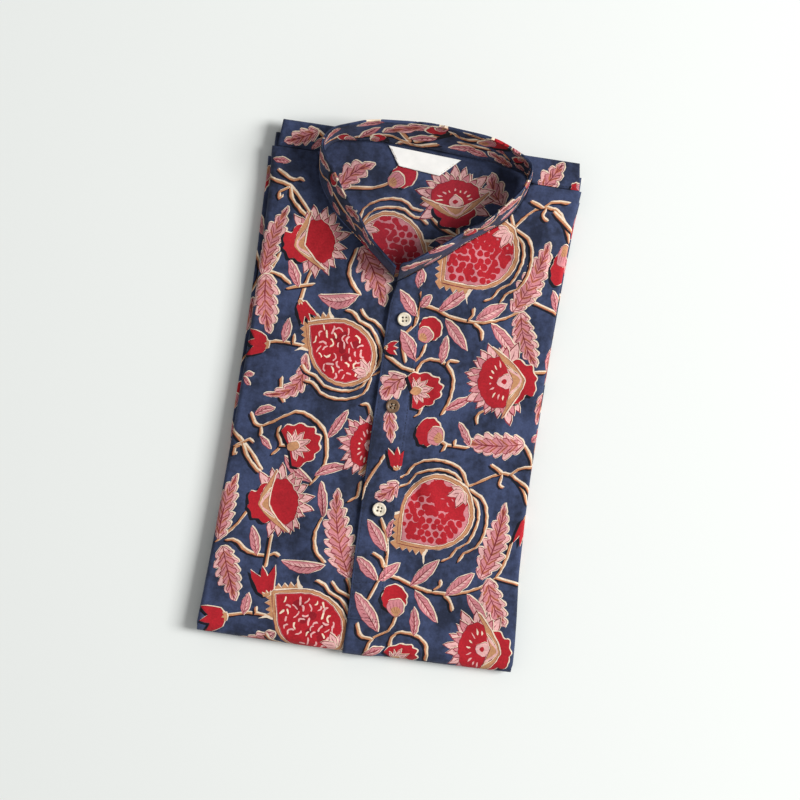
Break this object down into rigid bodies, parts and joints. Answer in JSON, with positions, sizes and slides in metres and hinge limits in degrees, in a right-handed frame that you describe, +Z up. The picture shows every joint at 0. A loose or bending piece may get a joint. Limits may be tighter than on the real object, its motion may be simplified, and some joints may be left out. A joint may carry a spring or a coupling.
{
  "type": "kurta tunic",
  "caption": "Block-printed indigo cotton kurta tunic, folded flat with its band collar and buttoned half placket on top",
  "frame": {"origin": "on the surface the folded tunic lies on, under the middle of its bounding box", "axes": "+X towards the wearer's left, +Y towards the collar, +Z up out of the fronts"},
  "size_m": [0.2723, 0.4496, 0.0529],
  "materials": {
    "printed_cotton": "matte",
    "inner_cotton": "matte",
    "woven_label": "matte",
    "pale_coconut": "satin",
    "brown_coconut": "satin"
  },
  "bodies": {
    "root": {"folded_layers": "inner_cotton", "back": "inner_cotton", "sleeve_left": "printed_cotton", "sleeve_right": "printed_cotton", "yoke_left": "printed_cotton", "yoke_right": "printed_cotton", "front_left": "printed_cotton", "front_right": "printed_cotton", "placket": "printed_cotton", "collar_band": "printed_cotton", "label": "woven_label", "button_top": "pale_coconut", "button_middle": "brown_coconut", "button_bottom": "pale_coconut"}
  },
  "joints": []
}
